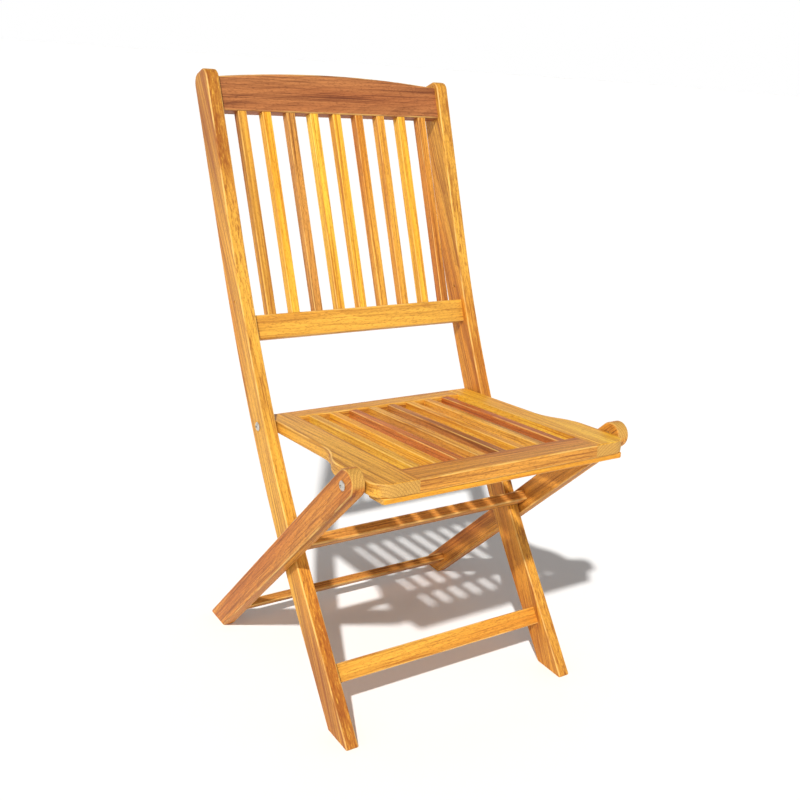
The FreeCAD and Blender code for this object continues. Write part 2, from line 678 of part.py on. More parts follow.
def seat_cleat():
    """The cleat under the front rail, with rounded corners and a counterbored hole for each screw."""
    body = new_body("seat_cleat")
    plan = sketch_on(body, "XY_Plane")
    rectangle(plan, "d.cleat_length", "d.cleat_width")
    pad(body, plan, "d.cleat_thick")
    ease(body, "d.cleat_corner", runs_along(2))
    ease(body, "d.slat_arris", lies_in_face(2, size("d.cleat_thick / 2")))
    first = -size("d.cleat_screw_pitch * (d.cleat_screw_count - 1) / 2")
    under = -size("d.cleat_thick / 2")
    cuts = (("d.screw_radius + d.fixed_gap", "d.cleat_thick"),
            ("d.screw_head_radius + d.glue_gap", "d.screw_head_height + d.glue_gap"))
    for radius, depth in cuts:
        sketch = sketch_on(body, "XY_Plane", first, 0.0, under)
        circle(sketch, radius)
        cut = pocket(body, sketch, depth, upward=True)
        repeat(body, cut, "X_Axis", "d.cleat_screw_pitch", "d.cleat_screw_count")
    body.Placement = seat_place(cleat_forward(), rise=-size("(d.seat_thick + d.cleat_thick) / 2"))
    return body


def cleat_screws():
    """The pan-head screws that hold the cleat, heads down in their counterbores."""
    count = int(size("d.cleat_screw_count"))
    rise = size("d.screw_head_height - d.seat_thick / 2 - d.cleat_thick")
    screws = []
    for number in range(count):
        body = new_body(f"cleat_screw_{number + 1}")
        for radius, length, middle in (
            ("d.screw_radius", "d.screw_length", size("d.screw_length / 2")),
            ("d.screw_head_radius", "d.screw_head_height", -size("d.screw_head_height / 2")),
        ):
            sketch = sketch_on(body, "XY_Plane", out=middle)
            circle(sketch, radius)
            pad(body, sketch, length)
        across = (number - (count - 1) / 2) * size("d.cleat_screw_pitch")
        body.Placement = seat_place(cleat_forward(), across, rise)
        screws.append(body)
    return screws


# ---------------------------------------------------------------- rear legs

def rear_leg(side_name):
    """One rear leg, rounded above its pivot and cut level at the floor."""
    side = SIDES[side_name]
    body = new_body(f"rear_leg_{side_name}")
    sketch = sketch_on(body, "YZ_Plane")
    half, length, reach = size("d.leg_depth / 2"), size(LEG_LENGTH), size("d.leg_top_reach")
    cut = half * math.tan(math.radians(size("d.leg_lean")))
    corners = [(half, reach), (-half, reach), (-half, cut - length), (half, -cut - length)]
    ends = outline(sketch, corners, {0: (0.0, reach + half)}, smooth=(0, 3))
    sketch.addConstraint(Sketcher.Constraint("PointOnObject", 0, 3, -2))
    sketch.addConstraint(Sketcher.Constraint("Vertical", 1))
    sketch.addConstraint(Sketcher.Constraint("Vertical", 3))
    dimension(sketch, "Radius", 0, to="d.leg_depth / 2")
    dimension(sketch, "DistanceY", -1, 1, 0, 3, to="d.leg_top_reach")
    foot_cut = "d.leg_depth / 2 * tan(d.leg_lean)"
    dimension(sketch, "Distance", 1, to=f"{LEG_LENGTH} - {foot_cut} + d.leg_top_reach")
    dimension(sketch, "DistanceY", 2, ends[2][1], -1, 1, to=f"{LEG_LENGTH} + {foot_cut}")
    pad(body, sketch, "d.leg_thick")
    ease(body, "d.foot_round", crosses_between(-math.inf, cut - length + 1.0))
    ease(body, "d.arris", lies_in_face(0, size("d.leg_thick / 2")))

    inner = -side * size("d.leg_thick / 2")
    for station, back, width, thick in leg_cross_joints():
        place = FreeCAD.Placement(FreeCAD.Vector(0, back, -station), FreeCAD.Rotation())
        side_mortise(body, place, inner, side, *bar_tenon(width, thick))
    pivot = sketch_on(body, "YZ_Plane")
    circle(pivot, "d.shoulder_radius + d.running_gap")
    pocket(body, pivot)
    body.Placement = leg_place(0.0, side * size("d.leg_inner_half + d.leg_thick / 2"))
    return body


def bar_tenon(width, thick):
    """Thickness, height and length of the tenon on a leg cross bar."""
    return f"{thick} - 2 * d.bar_shoulder", f"{width} - 2 * d.bar_shoulder", "d.tenon_length"


def leg_cross_joints():
    """The stop bar and the spreader: station down the leg, distance behind its centre line, width
    along the leg and thickness."""
    spreader = size(f"{LEG_LENGTH} - d.spreader_lift")
    return [(size("d.stop_station"), size("d.stop_back"), "d.stop_width", "d.stop_thick"),
            (spreader, 0.0, "d.spreader_width", "d.spreader_thick")]


def leg_cross_bar(label, joint, arris):
    """A bar between the rear legs, tenoned into both."""
    station, back, width, thick = joint
    tenon = bar_tenon(width, thick)
    body = board(label, "YZ_Plane", thick, width, "2 * d.leg_inner_half", arris, tenon)
    body.Placement = leg_place(station, back=back)
    return body


# ---------------------------------------------------------------- pivot hardware

def turned_part(label, profile):
    """A part turned about its own Z axis, from the corners of its half section."""
    body = new_body(label)
    sketch = sketch_on(body, "XZ_Plane")
    profile(sketch)
    feature = body.newObject("PartDesign::Revolution", label + "_turning")
    feature.Profile = sketch
    feature.ReferenceAxis = (sketch, ["V_Axis"])
    feature.Angle = 360
    DOC.recompute()
    return body


def bolt_profile(sketch):
    """Half section of a pivot bolt: thread below, shoulder from 0, domed head on top."""
    thread, shoulder, head = size("d.thread_radius"), size("d.shoulder_radius"), size("d.head_radius")
    tip, seat = -size("d.thread_length"), size("d.shoulder_length")
    rim, dome = seat + size("d.head_rim"), size("d.head_dome")
    sphere = (head ** 2 + dome ** 2) / (2 * dome)
    half_turn = math.asin(head / sphere) / 2
    bulge = (sphere * math.sin(half_turn), rim + dome - sphere * (1 - math.cos(half_turn)))
    corners = [
        (0, tip), (thread, tip), (thread, 0), (shoulder, 0),
        (shoulder, seat), (head, seat), (head, rim), (0, rim + dome),
    ]
    outline(sketch, corners, {6: bulge})
    for number in (0, 2, 4):
        sketch.addConstraint(Sketcher.Constraint("Horizontal", number))
    for number in (1, 3, 5, 7):
        sketch.addConstraint(Sketcher.Constraint("Vertical", number))
    sketch.addConstraint(Sketcher.Constraint("PointOnObject", 0, 1, -2))
    sketch.addConstraint(Sketcher.Constraint("PointOnObject", 3, 1, -1))
    dimension(sketch, "DistanceX", 0, 1, 0, 2, to="d.thread_radius")
    dimension(sketch, "DistanceY", 1, 1, 1, 2, to="d.thread_length")
    dimension(sketch, "DistanceX", -1, 1, 3, 1, to="d.shoulder_radius")
    dimension(sketch, "DistanceY", 3, 1, 3, 2, to="d.shoulder_length")
    dimension(sketch, "DistanceX", -1, 1, 5, 1, to="d.head_radius")
    dimension(sketch, "DistanceY", 5, 1, 5, 2, to="d.head_rim")
    dimension(sketch, "Radius", 6, to="d.head_radius * d.head_radius / 2 / d.head_dome + d.head_dome / 2")
    dimension(sketch, "DistanceY", -1, 1, 7, 1, to="d.shoulder_length + d.head_rim + d.head_dome")


def ring_body(label, outer, bore, length):
    """A plain ring about its own Z axis, standing on its origin."""
    body = new_body(label)
    middle = size(length) / 2
    ring = sketch_on(body, "XY_Plane", out=middle)
    circle(ring, outer)
    pad(body, ring, length)
    hole = sketch_on(body, "XY_Plane", out=middle)
    circle(hole, bore)
    pocket(body, hole)
    return body


def pivot_set(end_name, side_name, forward, rise, face):
    """Shoulder bolt, threaded insert and washer of one pivot, all fixed to the seat.

    face is the distance from the chair's middle to the seat rail's outer face.
    """
    side = SIDES[side_name]
    name = f"{end_name}_pivot"
    bolt = turned_part(f"{name}_bolt_{side_name}", bolt_profile)
    top = size("d.shoulder_length + d.head_rim + d.head_dome")
    socket = sketch_on(bolt, "XY_Plane", out=top)
    hexagon(socket, "d.socket_flats")
    pocket(bolt, socket, "d.socket_depth")
    insert = ring_body(f"{name}_insert_{side_name}", "d.insert_radius", "d.thread_radius + d.fixed_gap",
                       "d.insert_length")
    washer = ring_body(f"{name}_washer_{side_name}", "d.washer_radius", "d.washer_bore", "d.washer_thick")
    outwards = FreeCAD.Rotation(FreeCAD.Vector(0, 1, 0), 90 * side)
    spot = seat_place(forward, side * face, rise)
    inset = FreeCAD.Vector(side * size("d.insert_length"), 0, 0)
    bolt.Placement = FreeCAD.Placement(spot.Base, spot.Rotation.multiply(outwards))
    washer.Placement = bolt.Placement
    insert.Placement = FreeCAD.Placement(spot.Base - inset, bolt.Placement.Rotation)
    return [bolt, insert, washer]


# ---------------------------------------------------------------- the whole chair

def build_chair():
    """Every piece of the chair, in order from the back frame to the hardware."""
    pieces = [stile(side_name) for side_name in SIDES]
    pieces += [lower_back_rail(), top_rail(), front_stretcher(), *back_slats()]
    pieces += [seat_side_rail(side_name) for side_name in SIDES]
    pieces += [seat_front_rail(), seat_cross_rail("seat_rear_rail", seat_cross_joints()[1], slat_side=-1)]
    pieces += [*seat_slats(), seat_cleat(), *cleat_screws()]
    pieces += [rear_leg(side_name) for side_name in SIDES]
    stop, spreader = leg_cross_joints()
    pieces += [leg_cross_bar("stop_bar", stop, "d.stop_arris")]
    pieces += [leg_cross_bar("rear_spreader", spreader, "d.arris")]
    for side_name in SIDES:
        pieces += pivot_set("rear", side_name, 0.0, 0.0, size("d.seat_narrow_half"))
        pieces += pivot_set("front", side_name, size("d.pivot_spacing"), size("d.front_pivot_rise"),
                            size("d.seat_wide_half"))
    return pieces


def check_model(pieces):
    """Stop if any object of the document failed, or a piece isn't one valid solid."""
    for item in DOC.Objects:
        if {"Invalid", "Error"} & set(item.State):
            raise RuntimeError(f"{item.Label} failed: {item.State}")
        if item.TypeId == "Sketcher::SketchObject" and not item.FullyConstrained:
            print("not fully constrained:", item.Label)
    for piece in pieces:
        shape = piece.Shape
        if shape.isNull() or not shape.isValid() or len(shape.Solids) != 1:
            raise RuntimeError(f"{piece.Label} isn't one valid solid")


def export_parts(pieces):
    """Write each piece to its own STEP file."""
    os.makedirs("parts", exist_ok=True)
    for piece in pieces:
        piece.Shape.exportStep(f"parts/{piece.Label}.step")


PIECES = build_chair()
DOC.recompute()
check_model(PIECES)
export_parts(PIECES)
print(len(PIECES), "pieces written")
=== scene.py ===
import logging
import math
from dataclasses import dataclass
from enum import Enum

import bpy
from mathutils import Euler, Matrix, Vector


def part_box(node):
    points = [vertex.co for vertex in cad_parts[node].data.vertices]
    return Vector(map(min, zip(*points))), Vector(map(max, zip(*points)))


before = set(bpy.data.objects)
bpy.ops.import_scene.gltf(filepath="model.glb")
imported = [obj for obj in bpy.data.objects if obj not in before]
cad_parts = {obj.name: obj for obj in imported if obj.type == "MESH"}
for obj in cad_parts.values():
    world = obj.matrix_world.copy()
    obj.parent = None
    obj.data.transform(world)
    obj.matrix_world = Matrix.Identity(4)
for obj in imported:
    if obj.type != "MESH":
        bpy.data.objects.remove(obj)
log = logging.getLogger("folding_chair")

MM = 0.001
SIDES = ("left", "right")
ACROSS = Vector((1.0, 0.0, 0.0))
Colour = tuple[float, float, float]
Socket = bpy.types.NodeSocket


# ---------------------------------------------------------------- colours and patterns

def linear(colour: Colour) -> tuple[float, float, float, float]:
    """Turn an 8-bit sRGB colour into the linear colour that a shader takes.

    Args:
        colour: Red, green and blue from 0 to 255.

    Returns:
        Linear red, green and blue, and an alpha of 1.
    """
    shares = [part / 255 for part in colour]
    lit = [share / 12.92 if share <= 0.04045 else ((share + 0.055) / 1.055) ** 2.4 for share in shares]
    return (lit[0], lit[1], lit[2], 1.0)


class Tone(Enum):
    """The timber's tones: its pale, body and dark colours in 8-bit sRGB."""

    STRAW = ((246, 202, 72), (230, 162, 42), (168, 86, 22))
    HONEY = ((234, 176, 68), (212, 136, 44), (134, 64, 24))
    AMBER = ((222, 154, 60), (194, 114, 40), (114, 52, 22))
    COPPER = ((212, 148, 68), (180, 106, 40), (100, 46, 18))
    ROSE = ((188, 122, 70), (158, 90, 50), (92, 44, 26))
    RUSSET = ((216, 134, 56), (188, 100, 36), (112, 46, 16))


# Pale colour of the edges: partly worn timber, partly a painted highlight along the arrises.
WORN_EDGE_AND_HIGHLIGHT = (240, 200, 116)
PORE = (70, 34, 16)
END_PALE = (218, 170, 84)
END_DARK = (172, 118, 52)
END_RING = (128, 78, 34)


@dataclass(frozen=True)
class Cloud:
    """Cloudy noise and the patches in it.

    density is how closely it varies along a piece, across it and through it, per metre. low and
    high are the noise values where a patch starts and where it is full.
    """

    density: tuple[float, float, float]
    low: float = 0.0
    high: float = 1.0
    detail: float = 2.0
    rough: float = 0.5


DRIFT = Cloud((1.3, 13, 13), 0.36, 0.66)
SWAY = Cloud((2.08, 20.8, 20.8), detail=3.0)
BANDS = Cloud((2.4, 75, 75), 0.46, 0.68, rough=0.55)
COARSE_FIBRE = Cloud((4, 340, 340), detail=3.0, rough=0.6)
FINE_FIBRE = Cloud((14, 950, 950), rough=0.6)
GRIT = Cloud((160, 620, 620), 0.50, 0.68, rough=0.6)
PORES = Cloud((60, 1500, 1500), 0.66, 0.76, detail=1.0)
# Patches of the pale edges, which are partly wear and partly a painted highlight.
WEAR_AND_HIGHLIGHT = Cloud((14, 90, 90), 0.34, 0.58, detail=3.0)
END_SPECKS = Cloud((1400, 1400, 1400), 0.40, 0.66, detail=3.0, rough=0.7)
TARNISH = Cloud((240, 240, 240), 0.50, 0.72, detail=3.0, rough=0.6)
SCRATCHES = Cloud((400, 5200, 900), rough=0.7)

STREAKS = (0.50, 0.63)
GLINTS = (0.47, 0.36)
END_FACING = (0.55, 0.85)
ARRIS_FACING = (0.12, 0.42)

# The wave texture turns by this many radians per unit of length, at a scale of 1.
WAVE_RADIANS = 20
RING_STRETCH = Vector((0.08, 1, 1))
RING_SWAY = (0.0, 0.012, 0.012)
LATEWOOD_POWER = 2.4
KNOT_STRETCH = Vector((1, 1, 0.2))
KNOT_TIGHTNESS = Vector((28, 90, 90))
KNOT_PUSH = (0.0, 0.016, 0.016)


# ---------------------------------------------------------------- node trees

class NodeTree:
    """A material's node tree, with short calls for the nodes that the finishes share."""

    def __init__(self, name: str) -> None:
        """Start an empty tree in a new material.

        Args:
            name: The material's name.
        """
        self.material = bpy.data.materials.new(name)
        self.material.use_nodes = True
        self.tree = self.material.node_tree
        self.tree.nodes.clear()

    def node(self, kind: str, **settings: object) -> bpy.types.Node:
        """Add a node.

        Args:
            kind: The node's type name without its ShaderNode prefix.
            **settings: Properties to set on it.

        Returns:
            The new node.
        """
        made = self.tree.nodes.new("ShaderNode" + kind)
        for name, value in settings.items():
            setattr(made, name, value)
        return made

    def feed(self, socket: Socket, value: object) -> None:
        """Link a socket to another, or set its value.

        Args:
            socket: The input.
            value: The output to link it to, or the value to set.
        """
        if isinstance(value, Socket):
            self.tree.links.new(value, socket)
        else:
            socket.default_value = value

    def math(self, operation: str, *values: object, clamp: bool = False) -> Socket:
        """Do arithmetic.

        Args:
            operation: The Math node's operation.
            *values: Its numbers or sockets, in order.
            clamp: Whether to hold the result between 0 and 1.

        Returns:
            The result's socket.
        """
        made = self.node("Math", operation=operation, use_clamp=clamp)
        for socket, value in zip(made.inputs, values):
            self.feed(socket, value)
        return made.outputs[0]

    def remap(self, value: Socket, low: float, high: float) -> Socket:
        """Stretch a value smoothly so that low becomes 0 and high becomes 1.

        Args:
            value: The value, held at both ends.
            low: What becomes 0.
            high: What becomes 1, which may be less than low.

        Returns:
            The result's socket.
        """
        made = self.node("MapRange", interpolation_type="SMOOTHSTEP")
        self.feed(made.inputs["Value"], value)
        made.inputs["From Min"].default_value = low
        made.inputs["From Max"].default_value = high
        return made.outputs["Result"]

    def blend(self, share: Socket, first: object, second: object) -> Socket:
        """Mix two colours.

        Args:
            share: The second colour's share, from 0 to 1.
            first: The first colour, or its socket.
            second: The second colour, or its socket.

        Returns:
            The result's socket.
        """
        made = self.node("Mix", data_type="RGBA", blend_type="MIX", clamp_factor=True)
        for socket, value in zip((made.inputs[0], made.inputs[6], made.inputs[7]), (share, first, second)):
            self.feed(socket, value)
        return made.outputs[2]

    def stain(self, colour: object, tint: object, patch: Socket, strength: float) -> Socket:
        """Blend a colour toward a tint, by a patch at part of its strength."""
        return self.blend(self.math("MULTIPLY", patch, strength), colour, tint)

    def place(self, vector: Socket, kind: str, location: Vector | None = None,
              rotation: Euler | None = None, scale: Vector | None = None) -> Socket:
        """Move, turn or scale a vector with a Mapping node.

        Args:
            vector: The vector's socket.
            kind: The node's vector type: POINT maps it, and TEXTURE undoes the mapping.
            location: The move, if any.
            rotation: The turn, if any.
            scale: The scale, if any.

        Returns:
            The result's socket.
        """
        made = self.node("Mapping", vector_type=kind)
        self.feed(made.inputs["Vector"], vector)
        for name, value in (("Location", location), ("Rotation", rotation), ("Scale", scale)):
            if value is not None:
                made.inputs[name].default_value = value
        return made.outputs["Vector"]

    def noise(self, vector: Socket, cloud: Cloud, start: Vector | None = None) -> bpy.types.Node:
        """Add cloudy noise.

        Args:
            vector: Where to sample it.
            cloud: Its pattern.
            start: A place in the noise to start from, so that pieces differ.

        Returns:
            The noise node.
        """
        made = self.node("TexNoise")
        self.feed(made.inputs["Vector"], self.place(vector, "POINT", start, scale=Vector(cloud.density)))
        made.inputs["Scale"].default_value = 1.0
        made.inputs["Detail"].default_value = cloud.detail
        made.inputs["Roughness"].default_value = cloud.rough
        return made

    def patches(self, vector: Socket, cloud: Cloud, start: Vector | None = None) -> Socket:
        """Patches of a cloud, from 0 between them to 1 inside them."""
        return self.remap(self.noise(vector, cloud, start).outputs[0], cloud.low, cloud.high)

    def bump(self, height: Socket, strength: float, distance: float) -> Socket:
        """Turn a height into relief.

        Args:
            height: The height's socket.
            strength: The relief's strength from 0 to 1.
            distance: The relief's depth in metres.

        Returns:
            The socket of the new surface direction.
        """
        made = self.node("Bump")
        made.inputs["Strength"].default_value = strength
        made.inputs["Distance"].default_value = distance
        self.feed(made.inputs["Height"], height)
        return made.outputs[0]

    def finish(self, shader: bpy.types.Node) -> bpy.types.Material:
        """Join the shader to the material's output.

        Args:
            shader: The finished shader node.

        Returns:
            The material.
        """
        output = self.node("OutputMaterial")
        self.tree.links.new(shader.outputs[0], output.inputs["Surface"])
        return self.material


# ---------------------------------------------------------------- finishes

@dataclass(frozen=True)
class Grain:
    """How a piece's timber lies: its middle, and the directions of its grain and its width."""

    middle: Vector
    along: Vector
    width: Vector

    def turn(self) -> Euler:
        """Find the rotation from grain coordinates, X along the grain, to the frame's.

        Returns:
            The rotation.
        """
        through = self.along.cross(self.width)
        columns = Matrix((self.along, self.width, through)).transposed()
        return columns.to_euler("XYZ")


@dataclass(frozen=True)
class Figure:
    """Sockets of one piece's figure, from which its colour, roughness and relief are mixed.

    local holds grain coordinates, and moved holds the same at the piece's own place in the log. The
    others run from 0 to 1. end is full on the sawn ends, and the edge mask on the edges, which are painted
    paler both as wear and as a painted highlight.
    """

    local: Socket
    moved: Socket
    rings: Socket
    drift: Socket
    fibre: Socket
    pores: Socket
    end: Socket
    eased_wear_and_highlight: Socket


@dataclass(frozen=True)
class Ends:
    """Darker ends: the distances from the middle where they start and are full, and their strength."""

    start: float
    full: float
    strength: float


@dataclass(frozen=True)
class Timber:
    """Oiled hardwood of one tone, cut from its own part of the log.

    Lengths are in metres. seed picks the part of the log. pith is how far the log's pith lies to one
    side of the piece and beyond one face, and knot is a knot's place along the grain and across it
    from the piece's middle. contrast scales the figure, whose strengths run from 0 to 1. The fibre and
    the sawn ends add their share to the roughness, and the worn edges take theirs away.
    """

    tone: Tone
    seed: int
    ring_gap: float = 0.0042
    pith: tuple[float, float] = (0.035, 0.055)
    knot: tuple[float, float] | None = None
    ends: Ends | None = None
    contrast: float = 1.0
    band_strength: float = 0.5
    ring_strength: float = 0.34
    streak_strength: float = 0.7
    glint_strength: float = 0.6
    grit_strength: float = 0.4
    # The next strength paints the edges paler, partly as wear and partly as a painted highlight.
    wear_and_highlight_strength: float = 0.55
    pore_strength: float = 0.42
    end_ring_strength: float = 0.5
    roughness: float = 0.38
    fibre_roughness: float = 0.22
    end_roughness: float = 0.18
    worn_polish: float = 0.08
    specular: float = 0.24
    fibre_height: float = 0.5
    pore_depth: float = 0.8
    ring_depth: float = 0.25
    relief_strength: float = 0.55
    relief_depth: float = 0.25 * MM

    def material(self, name: str, grain: Grain) -> bpy.types.Material:
        """Build the finish for one piece.

        Args:
            name: The piece's name.
            grain: How its timber lies.

        Returns:
            The new material.
        """
        tree = NodeTree(f"timber_{name}")
        figure = self.figure(tree, grain)
        shader = tree.node("BsdfPrincipled")
        tree.feed(shader.inputs["Base Color"], self.colour(tree, figure))
        tree.feed(shader.inputs["Roughness"], self.mix_roughness(tree, figure))
        tree.feed(shader.inputs["Normal"], self.relief(tree, figure))
        shader.inputs["Specular IOR Level"].default_value = self.specular
        return tree.finish(shader)

    def offset(self) -> Vector:
        """The piece's own place in the log, so that no two pieces share a figure."""
        return Vector((1.7 * self.seed % 7.3, 0.37 * self.seed % 1.9, 0.53 * self.seed % 2.3))

    def figure(self, tree: NodeTree, grain: Grain) -> Figure:
        """Lay out the piece's figure.

        Args:
            tree: The tree to add to.
            grain: How the timber lies.

        Returns:
            The figure's sockets.
        """
        where = tree.node("TexCoord")
        local = tree.place(where.outputs["Object"], "TEXTURE", grain.middle, grain.turn())
        normal = tree.place(where.outputs["Normal"], "TEXTURE", rotation=grain.turn())
        facing = tree.node("SeparateXYZ")
        tree.feed(facing.inputs[0], normal)
        along, wide, thick = (tree.math("ABSOLUTE", facing.outputs[axis]) for axis in range(3))
        moved = tree.place(local, "POINT", self.offset())
        rings, drift = self.rings(tree, local, moved)
        arris = tree.remap(tree.math("MULTIPLY", wide, thick), *ARRIS_FACING)
        return Figure(
            local=local,
            moved=moved,
            rings=rings,
            drift=drift,
            fibre=self.fibre(tree, moved),
            pores=tree.patches(moved, PORES),
            end=tree.remap(along, *END_FACING),
            # Pale edges: the arrises, broken into patches, painted paler as wear and as a painted highlight.
            eased_wear_and_highlight=tree.math("MULTIPLY", arris, tree.patches(local, WEAR_AND_HIGHLIGHT)),
        )

    def rings(self, tree: NodeTree, local: Socket, moved: Socket) -> tuple[Socket, Socket]:
        """Lay growth rings about a pith line beside the piece.

        Args:
            tree: The tree to add to.
            local: Grain coordinates.
            moved: Grain coordinates at the piece's own place in the log.

        Returns:
            The latewood's darkness and the slow drift of colour, both from 0 to 1.
        """
        lean = Euler((0.0, math.radians(1.0 + self.seed % 3), math.radians(1.5 - self.seed % 4)))
        side = 1 if self.seed % 2 else -1
        about_pith = tree.place(local, "POINT", Vector((0, side * self.pith[0], self.pith[1])), lean)
        sway = tree.node("VectorMath", operation="MULTIPLY_ADD")
        tree.feed(sway.inputs[0], tree.noise(moved, SWAY).outputs["Color"])
        sway.inputs[1].default_value = RING_SWAY
        tree.feed(sway.inputs[2], about_pith)
        swayed = sway.outputs[0]
        if self.knot:
            swayed = self.bent_round_knot(tree, local, swayed)
        wave = tree.node("TexWave", wave_type="RINGS", rings_direction="X", wave_profile="SAW")
        tree.feed(wave.inputs["Vector"], tree.place(swayed, "POINT", scale=RING_STRETCH))
        wave.inputs["Scale"].default_value = 2 * math.pi / (WAVE_RADIANS * self.ring_gap)
        wave.inputs["Distortion"].default_value = 0.5
        wave.inputs["Detail"].default_value = 2.0
        wave.inputs["Detail Scale"].default_value = 0.35
        latewood = tree.math("POWER", wave.outputs["Fac"], LATEWOOD_POWER)
        return latewood, tree.patches(moved, DRIFT)

    def bent_round_knot(self, tree: NodeTree, local: Socket, swayed: Socket) -> Socket:
        """Push the rings aside round the piece's knot.

        Args:
            tree: The tree to add to.
            local: Grain coordinates.
            swayed: The coordinates that the rings are laid on.

        Returns:
            The socket of the moved coordinates.
        """
        knot = Vector((-self.knot[0], -self.knot[1], 0))
        near = tree.place(local, "POINT", knot, scale=KNOT_STRETCH)
        gap = tree.node("VectorMath", operation="LENGTH")
        tree.feed(gap.inputs[0], tree.place(near, "POINT", scale=KNOT_TIGHTNESS))
        moved = tree.node("VectorMath", operation="MULTIPLY_ADD")
        tree.feed(moved.inputs[0], tree.remap(gap.outputs["Value"], 1.0, 0.0))
        moved.inputs[1].default_value = KNOT_PUSH
        tree.feed(moved.inputs[2], swayed)
        return moved.outputs[0]

    def fibre(self, tree: NodeTree, moved: Socket) -> Socket:
        """Mix long coarse and fine streaks along the grain.

        Args:
            tree: The tree to add to.
            moved: Grain coordinates at the piece's own place in the log.

        Returns:
            The socket of the streaks, from 0 to 1.
        """
        coarse_share = 0.62
        coarse = tree.math("MULTIPLY", tree.noise(moved, COARSE_FIBRE).outputs[0], coarse_share)
        fine = tree.math("MULTIPLY", tree.noise(moved, FINE_FIBRE).outputs[0], 1 - coarse_share)
        return tree.math("ADD", coarse, fine)

    def colour(self, tree: NodeTree, figure: Figure) -> Socket:
        """Mix the piece's colour, from its tone out to its edges, paler as wear and as a painted highlight,
        and its pores.

        Args:
            tree: The tree to add to.
            figure: The piece's figure.

        Returns:
            The colour's socket.
        """
        pale, body, dark = (linear(colour) for colour in self.tone.value)
        colour = tree.blend(figure.drift, pale, body)
        if self.ends:
            colour = tree.blend(self.toward_ends(tree, figure.local), colour, dark)
        bands = tree.patches(figure.moved, BANDS)
        colour = tree.stain(colour, dark, bands, self.band_strength * self.contrast)
        colour = tree.stain(colour, dark, figure.rings, self.ring_strength * self.contrast)
        streaks = tree.remap(figure.fibre, *STREAKS)
        colour = tree.stain(colour, dark, streaks, self.streak_strength * self.contrast)
        glints = tree.remap(figure.fibre, *GLINTS)
        colour = tree.stain(colour, pale, glints, self.glint_strength)
        grit = tree.patches(figure.local, GRIT, self.offset())
        colour = tree.stain(colour, dark, grit, self.grit_strength)
        colour = tree.blend(figure.end, colour, self.end_grain(tree, figure))
        # The edges are painted paler, partly as wear and partly as a painted highlight along the arrises.
        colour = tree.stain(colour, linear(WORN_EDGE_AND_HIGHLIGHT), figure.eased_wear_and_highlight, self.wear_and_highlight_strength)
        return tree.stain(colour, linear(PORE), figure.pores, self.pore_strength)

    def toward_ends(self, tree: NodeTree, local: Socket) -> Socket:
        """Find the share of darker timber near the ends of the piece.

        Args:
            tree: The tree to add to.
            local: Grain coordinates.

        Returns:
            The share's socket.
        """
        split = tree.node("SeparateXYZ")
        tree.feed(split.inputs[0], local)
        reach = tree.remap(tree.math("ABSOLUTE", split.outputs[0]), self.ends.start, self.ends.full)
        return tree.math("MULTIPLY", reach, self.ends.strength)

    def end_grain(self, tree: NodeTree, figure: Figure) -> Socket:
        """Mix the colour of the sawn ends, with the rings and open pores in it.

        Args:
            tree: The tree to add to.
            figure: The piece's figure.

        Returns:
            The colour's socket.
        """
        specks = tree.patches(figure.local, END_SPECKS, self.offset())
        base = tree.blend(specks, linear(END_PALE), linear(END_DARK))
        return tree.stain(base, linear(END_RING), figure.rings, self.end_ring_strength)

    def mix_roughness(self, tree: NodeTree, figure: Figure) -> Socket:
        """Roughen the fibre and the sawn ends, and polish the worn edges.

        Args:
            tree: The tree to add to.
            figure: The piece's figure.

        Returns:
            The roughness's socket.
        """
        rough = tree.math("MULTIPLY_ADD", figure.fibre, self.fibre_roughness, self.roughness)
        rough = tree.math("MULTIPLY_ADD", figure.end, self.end_roughness, rough)
        return tree.math("MULTIPLY_ADD", figure.eased_wear_and_highlight, -self.worn_polish, rough, clamp=True)

    def relief(self, tree: NodeTree, figure: Figure) -> Socket:
        """Raise the fibre, and sink the pores and the latewood.

        Args:
            tree: The tree to add to.
            figure: The piece's figure.

        Returns:
            The socket of the surface direction.
        """
        height = tree.math("MULTIPLY", figure.fibre, self.fibre_height)
        height = tree.math("MULTIPLY_ADD", figure.pores, -self.pore_depth, height)
        height = tree.math("MULTIPLY_ADD", figure.rings, -self.ring_depth, height)
        return tree.bump(height, self.relief_strength, self.relief_depth)


@dataclass(frozen=True)
class Metal:
    """Brushed or plated metal, with fine scratches and a little tarnish."""

    colour: Colour
    tarnish: Colour
    roughness: float = 0.28
    scratch_roughness: float = 0.22
    tarnish_roughness: float = 0.12
    tarnish_strength: float = 0.6
    relief_strength: float = 0.25
    relief_depth: float = 0.05 * MM

    def material(self, name: str) -> bpy.types.Material:
        """Build the metal.

        Args:
            name: The metal's name.

        Returns:
            The new material.
        """
        tree = NodeTree(f"metal_{name}")
        where = tree.node("TexCoord").outputs["Object"]
        spots = tree.patches(where, TARNISH)
        scratches = tree.noise(where, SCRATCHES).outputs[0]
        colour = tree.stain(linear(self.colour), linear(self.tarnish), spots, self.tarnish_strength)
        rough = tree.math("MULTIPLY_ADD", scratches, self.scratch_roughness, self.roughness)
        rough = tree.math("MULTIPLY_ADD", spots, self.tarnish_roughness, rough)
        shader = tree.node("BsdfPrincipled")
        shader.inputs["Metallic"].default_value = 1.0
        tree.feed(shader.inputs["Base Color"], colour)
        tree.feed(shader.inputs["Roughness"], rough)
        tree.feed(shader.inputs["Normal"], tree.bump(scratches, self.relief_strength, self.relief_depth))
        return tree.finish(shader)


class Finish(Enum):
    """The metals of the fittings."""

    ZINC = Metal((206, 202, 194), (150, 136, 116))
    BRASS = Metal((214, 176, 96), (138, 100, 48), roughness=0.3)


# ---------------------------------------------------------------- sub-assemblies

